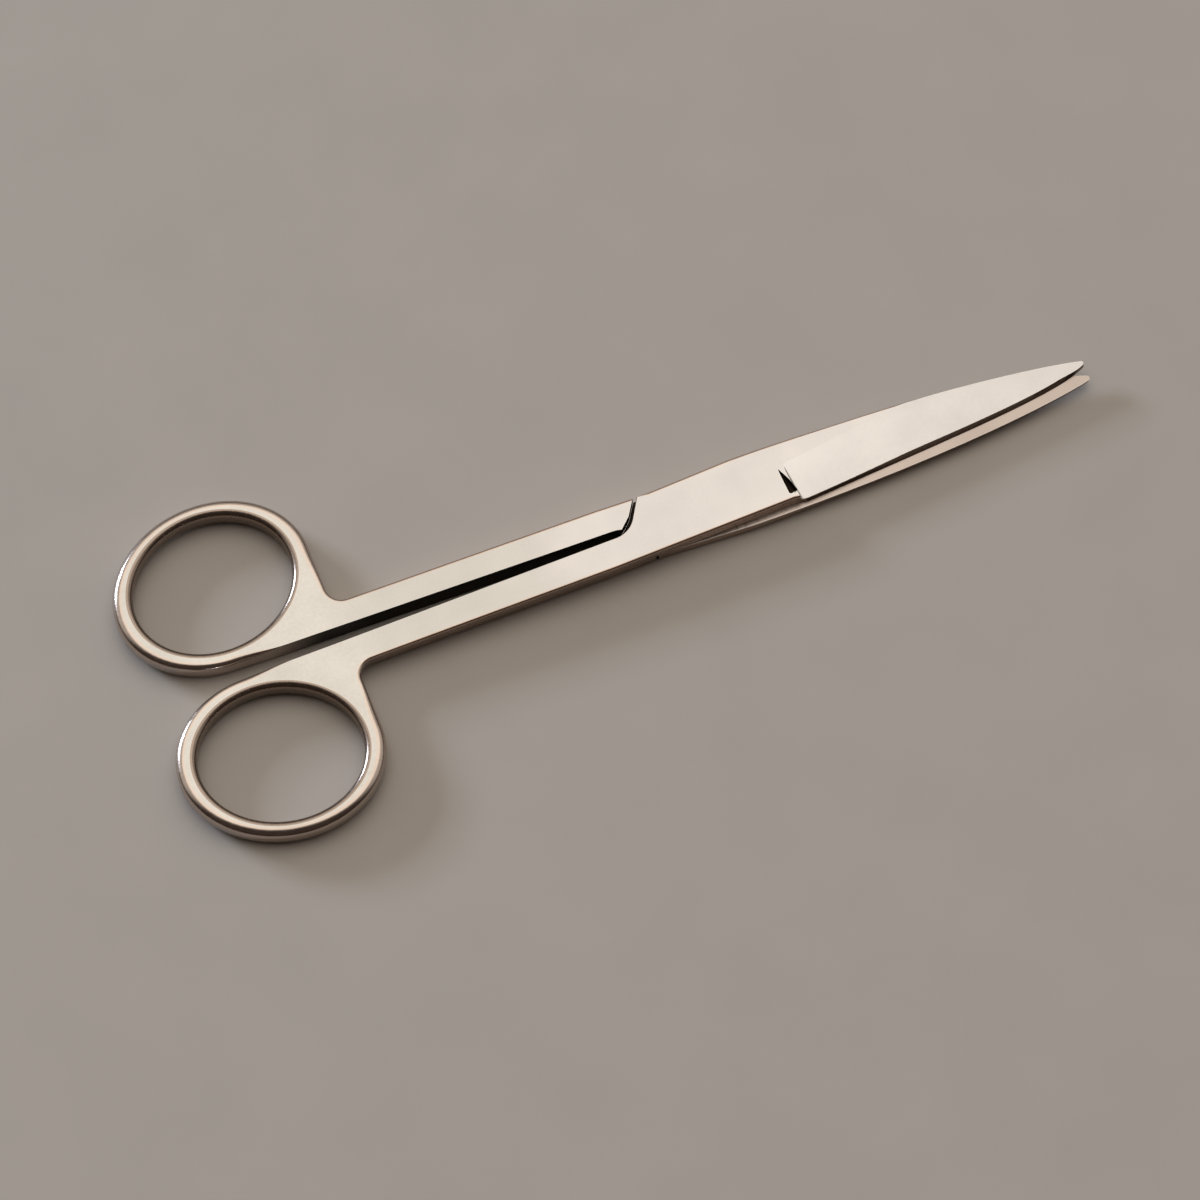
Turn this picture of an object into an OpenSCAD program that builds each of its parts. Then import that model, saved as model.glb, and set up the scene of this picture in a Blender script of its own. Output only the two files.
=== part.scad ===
// Straight operating scissors: two halves of one forging, lapped at a screw joint.
// The origin is on the pivot axis, in the plane that the scissors lie on. +X runs to the
// tips, +Y is the front half's spine side, and +Z points up out of the front half's face.

/* [Pose] */
// How far the halves stand open, from shanks parallel (degrees)
open_angle = 1.6; // [0:0.1:12]

/* [Joint] */
// Thickness over both lapped halves
thickness = 3.8; // [3.4:0.1:4.8]
// Running gap between the two lapped faces
lap_gap = 0.04; // [0.02:0.01:0.1]
// Joint half width on the spine side, at its widest
joint_up = 5.1; // [4.6:0.1:6]
// How much the spine side draws in toward the lap
joint_up_taper = 0.5; // [0.2:0.1:0.9]
// Distance from the pivot to the widest place of the spine side
spine_reach = 5.5; // [2:0.5:8]
// Joint half width on the cutting side, at the blade heel
joint_low = 4.35; // [4.2:0.05:5.2]
// Distance from the pivot back to the outer corner of the lap
lap_back = 9; // [8:0.1:11]
// Lean of the lap's back edge from square (degrees)
lap_lean = 32; // [24:1:38]
// Radius where the lap's back edge runs into the shank
lap_fillet = 4; // [3:0.1:4.6]
// Clear gap between the lap's back edge and the other half's shoulder
shoulder_gap = 0.5; // [0.35:0.05:0.8]

/* [Blade] */
// Distance from the pivot to the tips
tip_reach = 60.3; // [52:0.1:72]
// Radius of the tip, seen from above
tip_round = 0.45; // [0.4:0.05:0.6]
// Where the middle of the tip lies, from the centre line
tip_offset = 0.25; // [0.1:0.05:0.5]
// Distance from the pivot to the step at the blade's heel
heel_reach = 12.4; // [11:0.1:15]
// How far the cutting edge stands out past the joint at the heel
heel_step = 0.4; // [0.2:0.05:0.6]
// Slope of the outer face down to the cutting edge (degrees)
grind_roll = 8.5; // [6:0.5:10]
// Lean of the line where that slope begins, toward the spine (degrees)
grind_lean = 6.6; // [5:0.2:8]
// Where that line leaves the step at the heel, from the centre line
grind_start = 1.4; // [0.6:0.1:2.2]
// Radius at the foot of the step at the heel
grind_fillet = 0.5; // [0.3:0.1:0.9]
// Angle of the cutting bevel from the inner face (degrees)
bevel_angle = 60; // [55:1:75]
// Depth of the hollow in the inner face at the heel
hollow_depth = 0.12; // [0.06:0.02:0.18]
// Radius of the wheel that ground the hollow
hollow_radius = 38; // [30:1:50]

/* [Shank] */
// Width of the shank behind the joint, at its outer face
shank_joint_w = 4.5; // [4.2:0.05:5.2]
// Width of the shank at the ring, at its outer face
shank_ring_w = 4.2; // [3.8:0.05:4.8]
// Distance from the shank's inner side to the centre line
shank_clear = 0.32; // [0.2:0.02:0.5]
// How much narrower the shank is at its other face
shank_draft = 0.4; // [0.1:0.05:0.5]
// Edge radius along the shank and the joint
edge_round = 0.4; // [0.25:0.05:0.55]

/* [Finger ring] */
// Distance from the pivot back to the middle of the ring
ring_reach = 71.3; // [64:0.1:82]
// Length of the finger hole
hole_length = 24; // [21:0.1:26]
// Width of the finger hole
hole_width = 20.5; // [18:0.1:21.5]
// Tilt of the ring from the shank (degrees)
ring_tilt = 13.5; // [6:0.5:18]
// Thickness of the ring
ring_thickness = 3.3; // [2.9:0.1:3.4]
// Width of the ring's wall at the far end
wall_far = 3.1; // [2.8:0.05:3.8]
// Width of the ring's wall at the near end
wall_near = 3.1; // [2.8:0.05:3.8]
// Width of the ring's wall beside the centre line
wall_inner = 2.55; // [2.4:0.05:3.2]
// Width of the ring's wall on the outer side
wall_outer = 2.5; // [2.4:0.05:3.2]
// Edge radius around the outside of the ring
ring_round = 1.05; // [0.8:0.05:1.2]
// Edge radius around the finger hole
hole_round = 0.85; // [0.6:0.05:1]
// Radius in the crotch between ring and shank
crotch_radius = 2.4; // [1.8:0.1:3.4]

/* [Screw] */
// Diameter of the screw's shank and of its tapped hole
screw_d = 3.2; // [2.6:0.1:3.6]
// Steel left over the end of the tapped hole
screw_cover = 0.45; // [0.3:0.05:0.7]
// Diameter of the screw's head
head_d = 5.8; // [5:0.1:6.4]
// Height of the screw's head
head_h = 0.95; // [0.7:0.05:1.1]
// Radial running clearance in the back half
pivot_clear = 0.04; // [0.02:0.01:0.08]
// Radial clearance in the front half's tapped hole
thread_clear = 0.01; // [0.01:0.01:0.03]
// Width of the driver slot
slot_w = 0.8; // [0.6:0.1:1.2]
// Depth of the driver slot
slot_depth = 0.5; // [0.3:0.05:0.6]

/* [Hidden] */
$fn = 96;
ROUND_STEPS = 4;
HOLE_STEPS = 48;
CURVE_STEPS = 16;
ARC_STEPS = 6;
PAST = 1;
mid = thickness / 2;
lap_face = mid + lap_gap / 2;

// Edge styles: outer face radius, other face radius, draft, side slope above the inner face
STYLE_SHANK_IN = [0.2, 0.2, 0, 0];
STYLE_LAP = [0.15, 0.15, 0, 0];
STYLE_JOINT = [edge_round, edge_round, 0, 0];
STYLE_SHANK = [edge_round, edge_round, shank_draft, 0];
STYLE_CROTCH = [0.7, 0.7, 0, 0];
STYLE_RING = [ring_round, ring_round, 0, 0];
STYLE_RING_IN = STYLE_RING * 0.7;
STYLE_HEEL = [0.1, 0.1, 0, 0.15];
STYLE_EDGE = [0.1, 0.1, 0, 1 / tan(bevel_angle)];
STYLE_SPINE = [0.2, 0.2, 0, 0.2];
STYLE_TIP = [0.06, 0.06, 0, 0.13];

function ease(t) = t * t * (3 - 2 * t);
function mix(a, b, t) = a + (b - a) * t;
function unit(v) = v / norm(v);
function left(v) = [-v.y, v.x];
function mirrored(p) = [p.x, -p.y];
function polar(c, r, a) = c + r * [cos(a), sin(a)];
function turned(p, a) = [p.x * cos(a) - p.y * sin(a), p.x * sin(a) + p.y * cos(a)];

// Runs of the outline leave out their last point, which starts the next run.
function line_run(a, b, n) = [for (i = [0:n - 1]) mix(a, b, i / n)];
function arc_run(c, r, a0, a1, n) = [for (i = [0:n - 1]) polar(c, r, mix(a0, a1, i / n))];
function curve_run(p, n) = [for (i = [0:n - 1]) let (t = i / n, s = 1 - t)
    s * s * s * p[0] + 3 * s * s * t * p[1] + 3 * s * t * t * p[2] + t * t * t * p[3]];
function oval_point(c, semi, a) = c + turned([semi.x * cos(a), semi.y * sin(a)], -ring_tilt);
function oval_run(c, semi, a0, a1, n) = [for (i = [0:n - 1]) oval_point(c, semi, mix(a0, a1, i / n))];

// Each point of a run gets its edge style: from s0 to s1, or by way of s1 to s2.
function styled(points, s0, s1) = let (n = len(points))
    [for (i = [0:n - 1]) concat(points[i], mix(s0, s1, ease(i / n)))];
function styled_by(points, s0, s1, s2, lead) = let (n = len(points))
    [for (i = [0:n - 1]) let (t = i / n)
        concat(points[i], t < 0.5 ? mix(s0, s1, ease(min(1, t / lead)))
            : mix(s2, s1, ease(min(1, (1 - t) / lead))))];

// The finger hole and the outside of the ring are two ovals with centres of their own.
hole_semi = [hole_length, hole_width] / 2;
ring_semi = hole_semi + [wall_far + wall_near, wall_inner + wall_outer] / 2;
ring_half_y = norm([ring_semi.x * sin(ring_tilt), ring_semi.y * cos(ring_tilt)]);
ring_centre = [-ring_reach, -shank_clear - ring_half_y];
hole_shift = [wall_far - wall_near, wall_outer - wall_inner] / 2;
hole_centre = ring_centre + turned(hole_shift, -ring_tilt);
ring_top_a = atan2(ring_semi.y * cos(ring_tilt), -ring_semi.x * sin(ring_tilt));
ring_near_a = atan2(ring_semi.y * sin(ring_tilt), ring_semi.x * cos(ring_tilt));
ring_top = oval_point(ring_centre, ring_semi, ring_top_a);
ring_near = oval_point(ring_centre, ring_semi, ring_near_a);
ring_blend = [8, 0];

// The lap's back edge leans, and runs into the shank's inner side by an arc.
lap_corner = [-lap_back, joint_up - joint_up_taper];
lap_dir = [-sin(lap_lean), -cos(lap_lean)];
lap_foot = lap_corner + lap_dir * (lap_corner.y + shank_clear) / cos(lap_lean);
lap_tangent = lap_fillet * tan((90 - lap_lean) / 2);
lap_arc_start = lap_foot - lap_dir * lap_tangent;
lap_arc_centre = lap_foot + [-lap_tangent, lap_fillet];

// The other half's shoulder follows the lap's back edge at the shoulder gap.
gap_shift = left(-lap_dir) * shoulder_gap;
corner_arc = lap_fillet - 0.7 * shoulder_gap;
corner_rise = lap_fillet - 2 * shank_clear;
shoulder_outer = mirrored(lap_corner + gap_shift - lap_dir * 2);
shoulder_kink = mirrored(lap_arc_start + gap_shift);
shoulder_corner = [lap_arc_centre.x + sqrt(corner_arc * corner_arc - corner_rise * corner_rise),
    -shank_clear];
shoulder_end = shoulder_corner + unit(shoulder_corner - shoulder_kink) * PAST;

// The shank runs straight from the joint to the crotch, and thins toward the ring.
crotch_centre = [ring_near.x + crotch_radius, -shank_clear - shank_ring_w - crotch_radius];
shank_start = [lap_arc_centre.x - 1.5, -shank_clear - shank_joint_w];
shank_end = [crotch_centre.x, -shank_clear - shank_ring_w];
thin_from = shank_start.x;
thin_to = shank_end.x + 1;
thin_end = mix(shank_end, shank_start, 1 / (shank_start.x - shank_end.x));

// Blade
joint_front = [heel_reach - 0.2, -joint_low];
edge_start = [heel_reach + 1.6, -joint_low - heel_step];
spine_start = [spine_reach, joint_up];
tip_centre = [tip_reach - tip_round, tip_offset];
tip_top_a = 77;
tip_low_a = -64;
tip_top = polar(tip_centre, tip_round, tip_top_a);
tip_low = polar(tip_centre, tip_round, tip_low_a);
spine_length = tip_reach - spine_start.x;
edge_length = tip_reach - edge_start.x;
spine_curve = [tip_top, polar(tip_top, 0.23 * spine_length, tip_top_a + 90),
    spine_start + [0.365 * spine_length, 0], spine_start];
edge_curve = [edge_start, polar(edge_start, 0.67 * edge_length, 3),
    polar(tip_low, 0.1 * edge_length, tip_low_a - 90), tip_low];

// The outline of one half, counterclockwise from above, starting at the tip
outline = concat(
    styled(arc_run(tip_centre, tip_round, tip_low_a, tip_top_a, ARC_STEPS), STYLE_TIP, STYLE_TIP),
    styled_by(curve_run(spine_curve, CURVE_STEPS), STYLE_TIP, STYLE_SPINE, STYLE_JOINT, 0.3),
    styled(line_run(spine_start, lap_corner, 5), STYLE_JOINT, STYLE_JOINT),
    styled(line_run(lap_corner, lap_arc_start, 2), STYLE_LAP, STYLE_LAP),
    styled(arc_run(lap_arc_centre, lap_fillet, -lap_lean, -90, ARC_STEPS), STYLE_LAP, STYLE_SHANK_IN),
    styled([[lap_arc_centre.x, -shank_clear], [thin_from, -shank_clear]],
        STYLE_SHANK_IN, STYLE_SHANK_IN),
    styled([[thin_to, -shank_clear]], STYLE_SHANK_IN, STYLE_SHANK_IN),
    styled(line_run(ring_top + ring_blend, ring_top, 6), STYLE_SHANK_IN, STYLE_RING_IN),
    styled(oval_run(ring_centre, ring_semi, ring_top_a, 180, 10), STYLE_RING_IN, STYLE_RING),
    styled(oval_run(ring_centre, ring_semi, 180, 360 + ring_near_a, 26), STYLE_RING, STYLE_RING),
    styled(line_run(ring_near, [ring_near.x, crotch_centre.y], 4), STYLE_RING, STYLE_CROTCH),
    styled(arc_run(crotch_centre, crotch_radius, 180, 90, ARC_STEPS), STYLE_CROTCH, STYLE_SHANK),
    styled([shank_end, thin_end], STYLE_SHANK, STYLE_SHANK),
    styled(line_run(shank_start, joint_front, 4), STYLE_SHANK, STYLE_JOINT),
    styled(line_run(joint_front, edge_start, 3), STYLE_JOINT, STYLE_HEEL),
    styled_by(curve_run(edge_curve, CURVE_STEPS), STYLE_HEEL, STYLE_EDGE, STYLE_TIP, 0.25)
);

// A solid between closed loops of equal length, stacked upward
function loop_count(loops) = len(loops[0]);
function side_faces(loops) = let (n = loop_count(loops))
    [for (k = [0:len(loops) - 2], i = [0:n - 1]) let (a = k * n + i, b = k * n + (i + 1) % n)
        each [[a, a + n, b + n], [a, b + n, b]]];
function span(i, j, n) = [for (k = [i:(j < i ? j + n : j)]) k % n];

// A flat cap is cut into triangles one ear at a time, since it may bend inward.
function turn(a, b, c) = (b.x - a.x) * (c.y - b.y) - (b.y - a.y) * (c.x - b.x);
function covers(a, b, c, p) = turn(a, b, p) >= 0 && turn(b, c, p) >= 0 && turn(c, a, p) >= 0;
function corner(ids, i) = let (n = len(ids)) [ids[(i + n - 1) % n], ids[i], ids[(i + 1) % n]];
function is_ear(pts, ids, t) = turn(pts[t[0]], pts[t[1]], pts[t[2]]) > 0
    && len([for (k = ids) if (k != t[0] && k != t[1] && k != t[2]
        && covers(pts[t[0]], pts[t[1]], pts[t[2]], pts[k])) k]) == 0;
function next_ear(pts, ids, i) = is_ear(pts, ids, corner(ids, i)) ? i : next_ear(pts, ids, i + 1);
function ears(pts, ids) = len(ids) == 3 ? [ids] : let (i = next_ear(pts, ids, 0))
    concat([corner(ids, i)], ears(pts, [for (k = [0:len(ids) - 1]) if (k != i) ids[k]]));

module stacked(loops, caps) {
    top = len(loops) - 1;
    base = top * loop_count(loops);
    low_faces = [for (c = caps) each ears(loops[0], c)];
    top_faces = [for (c = caps, t = ears(loops[top], c)) [t[2] + base, t[1] + base, t[0] + base]];
    polyhedron(points = [for (l = loops) each l],
        faces = concat(low_faces, top_faces, side_faces(loops)));
}

// Inset and height of a rounded side at level k, for the radii at the other and outer face
function side_level(p, k) = let (a = 90 * (k > ROUND_STEPS ? k - ROUND_STEPS - 2 : k) / ROUND_STEPS)
    k <= ROUND_STEPS ? [p[3] * (1 - sin(a)), p[3] * (1 - cos(a))]
    : k == ROUND_STEPS + 1 ? [0, mid]
    : [p[2] * (1 - cos(a)), thickness - p[2] * (1 - sin(a))];
function inward(pts, i) = let (n = len(pts), p = pts[i],
        a = left(unit(p - pts[(i + n - 1) % n])), b = left(unit(pts[(i + 1) % n] - p)), m = unit(a + b))
    m / max(0.5, m * a);
function thinning(x) = mix(1, ring_thickness / thickness,
    min(1, max(0, (thin_from - x) / (thin_from - thin_to))));

plan = [for (p = outline) [p.x, p.y]];
inwards = [for (i = [0:len(plan) - 1]) inward(plan, i)];
function blank_loop(k) = [for (i = [0:len(plan) - 1])
    let (p = outline[i], side = side_level(p, k), rise = max(0, side.y - mid),
        inset = side.x + p[4] * (1 - side.y / thickness) + p[5] * rise,
        q = plan[i] + inwards[i] * inset)
    [q.x, q.y, mid + (side.y - mid) * thinning(p.x)]];

// The thinning shank parts each cap into three flats: blade and joint, shank, and ring.
function plan_index(x) = [for (i = [0:len(plan) - 1]) if (abs(plan[i].x - x) < 1e-6) i];
thin_a = plan_index(thin_from);
thin_b = plan_index(thin_to);
blank_caps = let (n = len(plan))
    [span(thin_a[1], thin_a[0], n), concat(span(thin_a[0], thin_b[0], n), span(thin_b[1], thin_a[1], n)),
        span(thin_b[0], thin_b[1], n)];

module blank() {
    stacked([for (k = [0:2 * ROUND_STEPS + 2]) blank_loop(k)], blank_caps);
}

// The finger hole flares at both faces of the ring.
function flare(k) = let (a = 90 * (k > ROUND_STEPS ? k - ROUND_STEPS - 1 : k) / ROUND_STEPS)
    k <= ROUND_STEPS ? [hole_round * (1 - sin(a)), hole_round * (1 - cos(a))]
    : [hole_round * (1 - cos(a)), ring_thickness - hole_round * (1 - sin(a))];
function hole_loop(grow, z) = [for (i = [0:HOLE_STEPS - 1])
    let (p = oval_point(hole_centre, hole_semi + [grow, grow], 360 * i / HOLE_STEPS)) [p.x, p.y, z]];

module finger_hole() {
    low = mid - ring_thickness / 2;
    rounds = [for (k = [0:2 * ROUND_STEPS + 1]) hole_loop(flare(k).x, low + flare(k).y)];
    below = hole_loop(hole_round, low - PAST);
    above = hole_loop(hole_round, low + ring_thickness + PAST);
    stacked(concat([below], rounds, [above]), [[for (i = [0:HOLE_STEPS - 1]) i]]);
}

// Room for the other half's lap, up to the shoulder that follows its back edge
module lap_recess() {
    side = 2 * joint_up;
    translate([0, 0, -PAST])
        linear_extrude(height = lap_face + PAST)
            polygon([shoulder_outer, [tip_reach + PAST, -side], [tip_reach + PAST, side],
                [shoulder_end.x, side], shoulder_end, shoulder_corner, shoulder_kink]);
}

// The outer face slopes from a leaning line down to the cutting edge, with a step at the heel.
module blade_grind() {
    foot = arc_run([grind_fillet, grind_fillet], grind_fillet, 180, 270, ARC_STEPS);
    length = tip_reach - heel_reach + 2 * joint_up;
    width = 2 * joint_up + joint_low;
    height = 2 * thickness;
    translate([heel_reach, grind_start, thickness])
        rotate([grind_roll, 0, grind_lean])
            translate([0, PAST, 0])
                rotate([90, 0, 0])
                    linear_extrude(height = width)
                        polygon(concat(foot, [[grind_fillet, 0], [length, 0], [length, height],
                            [0, height]]));
}

// The inner face is ground slightly hollow, from past the joint to near the tip.
module hollow_grind() {
    start = edge_start.x + 1;
    length = tip_reach - start;
    fade = atan(hollow_depth / length);
    translate([start, (spine_start.y + edge_start.y) / 2, lap_face + hollow_depth - hollow_radius])
        rotate([0, 90 + fade, 0])
            cylinder(r = hollow_radius, h = length, $fn = 360);
}

// One half with its outer face up, before its hole for the screw
module half() {
    difference() {
        blank();
        finger_hole();
        lap_recess();
        blade_grind();
        hollow_grind();
    }
}

module tapped_hole() {
    translate([0, 0, -PAST])
        cylinder(d = screw_d + 2 * thread_clear, h = thickness - screw_cover + PAST);
}

module running_bore() {
    translate([0, 0, -PAST])
        cylinder(d = screw_d + 2 * pivot_clear, h = thickness + 2 * PAST);
    translate([0, 0, thickness - head_h - lap_gap / 2])
        cylinder(d = head_d + 2 * pivot_clear, h = head_h + PAST);
}

module front_half() {
    color("lightsteelblue")
        rotate([0, 0, open_angle / 2])
            difference() {
                half();
                tapped_hole();
            }
}

module back_half() {
    color("slategray")
        rotate([0, 0, -open_angle / 2])
            translate([0, 0, thickness])
                rotate([180, 0, 0])
                    difference() {
                        half();
                        running_bore();
                    }
}

module pivot_screw() {
    end = thickness - screw_cover - lap_gap;
    chamfer = 0.15;
    color("goldenrod")
        difference() {
            rotate_extrude()
                polygon([[0, 0], [head_d / 2 - chamfer, 0], [head_d / 2, chamfer],
                    [head_d / 2, head_h], [screw_d / 2, head_h], [screw_d / 2, end - chamfer],
                    [screw_d / 2 - chamfer, end], [0, end]]);
            translate([-head_d, -slot_w / 2, -PAST])
                cube([2 * head_d, slot_w, slot_depth + PAST]);
        }
}

front_half();
back_half();
pivot_screw();
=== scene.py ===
"""Straight operating scissors: two lapped steel halves with finger rings, and a pivot screw.

Shapes are worked out in millimetres. Meshes are in metres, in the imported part's frame: the origin
is on the pivot axis in the plane that the scissors lie on, +X runs to the tips and +Z points up.
"""

from __future__ import annotations

import logging
import math
from dataclasses import dataclass, field
from enum import Enum
from typing import Any, Callable, Sequence

import bmesh
import bpy
from mathutils import Matrix, Vector

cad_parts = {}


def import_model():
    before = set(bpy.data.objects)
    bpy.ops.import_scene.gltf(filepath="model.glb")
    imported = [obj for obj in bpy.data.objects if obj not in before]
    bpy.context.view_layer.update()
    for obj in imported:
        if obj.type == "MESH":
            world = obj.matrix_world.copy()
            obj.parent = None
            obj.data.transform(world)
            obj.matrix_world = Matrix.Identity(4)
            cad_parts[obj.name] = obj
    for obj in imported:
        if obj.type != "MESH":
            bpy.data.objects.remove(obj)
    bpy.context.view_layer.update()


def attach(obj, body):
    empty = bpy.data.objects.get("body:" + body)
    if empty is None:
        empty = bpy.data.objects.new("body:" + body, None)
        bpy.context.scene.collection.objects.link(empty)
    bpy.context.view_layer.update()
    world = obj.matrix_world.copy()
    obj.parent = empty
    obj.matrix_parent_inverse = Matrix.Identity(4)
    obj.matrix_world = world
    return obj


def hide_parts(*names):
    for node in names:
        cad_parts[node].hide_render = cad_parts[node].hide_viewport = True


LOG = logging.getLogger("scissors")

MM = 0.001
ROUND_STEPS = 8
ARC_STEPS = 14
CURVE_STEPS = 56
HOLE_STEPS = 128
PAST = 1.0

Point = tuple[float, float]


class Half(Enum):
    """Which of the two halves a forging is, by the CAD node that it stands for."""

    FRONT = "front_half"
    BACK = "back_half"


class Zone(Enum):
    """The material slots of a half, in order."""

    FACE = 0
    SIDE = 1
    BLADE = 2
    LAP = 3
    EDGE = 4
    GAP = 5
    HOLE = 6
    BEVEL = 7


def linear(colour: str) -> tuple[float, float, float, float]:
    """Turns an sRGB hex colour into the linear colour that shaders take.

    Args:
        colour: Six hex digits after a number sign.

    Returns:
        Red, green and blue in linear light, and an alpha of 1.
    """
    parts = [int(colour[i : i + 2], 16) / 255 for i in (1, 3, 5)]
    red, green, blue = [
        c / 12.92 if c <= 0.04045 else ((c + 0.055) / 1.055) ** 2.4 for c in parts
    ]
    return (red, green, blue, 1.0)


def add_node(
    tree: bpy.types.NodeTree, kind: str, inputs: dict[Any, Any] | None = None, **settings: Any
) -> bpy.types.Node:
    """Adds one node with its settings, values and links.

    Args:
        tree: The node tree that the node goes into.
        kind: The node's type.
        inputs: For each input, by name or number, its value or the output that feeds it.
        settings: Properties of the node itself.

    Returns:
        The new node.
    """
    node = tree.nodes.new(kind)
    for name, value in settings.items():
        setattr(node, name, value)
    for key, value in (inputs or {}).items():
        if isinstance(value, bpy.types.NodeSocket):
            tree.links.new(value, node.inputs[key])
        else:
            node.inputs[key].default_value = value
    return node


def ease(t: float) -> float:
    """Returns a smooth step of t, which runs from 0 to 1."""
    return t * t * (3 - 2 * t)


def clamp(t: float) -> float:
    """Returns t kept between 0 and 1."""
    return min(1.0, max(0.0, t))


def mix(a: float, b: float, t: float) -> float:
    """Returns the value that lies t of the way from a to b."""
    return a + (b - a) * t


def between(a: Point, b: Point, t: float) -> Point:
    """Returns the point that lies t of the way from a to b."""
    return (mix(a[0], b[0], t), mix(a[1], b[1], t))


def polar(centre: Point, radius: float, degrees: float) -> Point:
    """Returns the point at a radius and angle from a centre."""
    a = math.radians(degrees)
    return (centre[0] + radius * math.cos(a), centre[1] + radius * math.sin(a))


def turned(p: Point, degrees: float) -> Point:
    """Returns a point turned about the origin."""
    a = math.radians(degrees)
    return (p[0] * math.cos(a) - p[1] * math.sin(a), p[0] * math.sin(a) + p[1] * math.cos(a))


def line_run(a: Point, b: Point, count: int) -> list[Point]:
    """Returns points from a towards b, without b."""
    return [between(a, b, i / count) for i in range(count)]


def arc_run(centre: Point, radius: float, start: float, end: float, count: int) -> list[Point]:
    """Returns points along an arc from one angle towards another, without the last."""
    return [polar(centre, radius, mix(start, end, i / count)) for i in range(count)]


def curve_run(handles: Sequence[Point], count: int) -> list[Point]:
    """Returns points along a cubic curve, without the last.

    Args:
        handles: The curve's start, its two handles and its end.
        count: How many points the curve gets.

    Returns:
        The points from the start on.
    """
    run = []
    for i in range(count):
        t = i / count
        weights = ((1 - t) ** 3, 3 * (1 - t) ** 2 * t, 3 * (1 - t) * t * t, t**3)
        run.append(tuple(sum(w * p[k] for w, p in zip(weights, handles)) for k in (0, 1)))
    return run


@dataclass(frozen=True)
class Side:
    """How a half's side is shaped at one place of its outline, in millimetres.

    Attributes:
        outer: Radius at the outer face.
        other: Radius at the other face.
        draft: How much the side draws in towards the other face.
        slope: How much the side draws in for each millimetre above the inner face.
    """

    outer: float
    other: float
    draft: float = 0.0
    slope: float = 0.0

    def towards(self, end: "Side", t: float) -> "Side":
        """Returns the shape that lies t of the way to another one."""
        return Side(
            mix(self.outer, end.outer, t),
            mix(self.other, end.other, t),
            mix(self.draft, end.draft, t),
            mix(self.slope, end.slope, t),
        )


@dataclass(frozen=True)
class Station:
    """One point of a half's outline, with the shape and zone of the side there."""

    at: Point
    side: Side
    zone: Zone = Zone.SIDE


def styled(
    points: Sequence[Point], start: Side, end: Side, zone: Zone = Zone.SIDE
) -> list[Station]:
    """Returns the points with a side that passes smoothly from one shape to another."""
    count = len(points)
    return [Station(p, start.towards(end, ease(i / count)), zone) for i, p in enumerate(points)]


def styled_by(
    points: Sequence[Point], start: Side, by: Side, end: Side, lead: float, zone: Zone
) -> list[Station]:
    """Gives a run its sides by way of a third shape that holds along its middle.

    Args:
        points: The run's points.
        start: The side at the first point.
        by: The side along the middle.
        end: The side after the last point.
        lead: The share of the run that each change takes.
        zone: The run's zone.

    Returns:
        The points with their sides.
    """
    stations = []
    for i, p in enumerate(points):
        t = i / len(points)
        if t < 0.5:
            side = start.towards(by, ease(clamp(t / lead)))
        else:
            side = end.towards(by, ease(clamp((1 - t) / lead)))
        stations.append(Station(p, side, zone))
    return stations


@dataclass(frozen=True)
class JointSizes:
    """The lapped joint's real sizes in millimetres and degrees."""

    thickness: float = 3.8
    lap_gap: float = 0.04
    up: float = 5.1
    up_taper: float = 0.5
    spine_reach: float = 5.5
    low: float = 4.35
    lap_back: float = 9.0
    lap_lean: float = 32.0
    lap_fillet: float = 4.0
    shoulder_gap: float = 0.5
    open_angle: float = 1.6

    @property
    def mid(self) -> float:
        """Half the thickness, where the two halves meet."""
        return self.thickness / 2

    @property
    def lap_face(self) -> float:
        """Height of a half's inner face."""
        return self.mid + self.lap_gap / 2


@dataclass(frozen=True)
class BladeSizes:
    """The blade's real sizes in millimetres and degrees."""

    tip_reach: float = 60.3
    tip_round: float = 0.45
    tip_offset: float = 0.25
    tip_top: float = 77.0
    tip_low: float = -64.0
    heel_reach: float = 12.4
    heel_step: float = 0.4
    grind_roll: float = 8.5
    grind_lean: float = 6.6
    grind_start: float = 1.4
    grind_fillet: float = 0.5
    relief_length: float = 4.1
    relief_radius: float = 0.8
    bevel_angle: float = 60.0
    hollow_depth: float = 0.12
    hollow_radius: float = 38.0


@dataclass(frozen=True)
class ShankSizes:
    """The shank's real sizes in millimetres."""

    joint_width: float = 4.5
    ring_width: float = 4.2
    clear: float = 0.32
    draft: float = 0.4
    edge_round: float = 0.4
    crotch_radius: float = 2.4


@dataclass(frozen=True)
class RingSizes:
    """The finger ring's real sizes in millimetres and degrees."""

    reach: float = 71.3
    hole: Point = (24.0, 20.5)
    tilt: float = 13.5
    thickness: float = 3.3
    wall_far: float = 3.1
    wall_near: float = 3.1
    wall_inner: float = 2.55
    wall_outer: float = 2.5
    outside_round: float = 1.3
    hole_round: float = 1.0
    blend: float = 8.0


@dataclass(frozen=True)
class ScrewSizes:
    """The pivot screw's real sizes in millimetres."""

    diameter: float = 3.2
    cover: float = 0.45
    head: float = 5.8
    head_height: float = 0.95
    pivot_clear: float = 0.04
    thread_clear: float = 0.01
    slot_width: float = 0.8
    slot_depth: float = 0.5
    chamfer: float = 0.15


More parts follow.
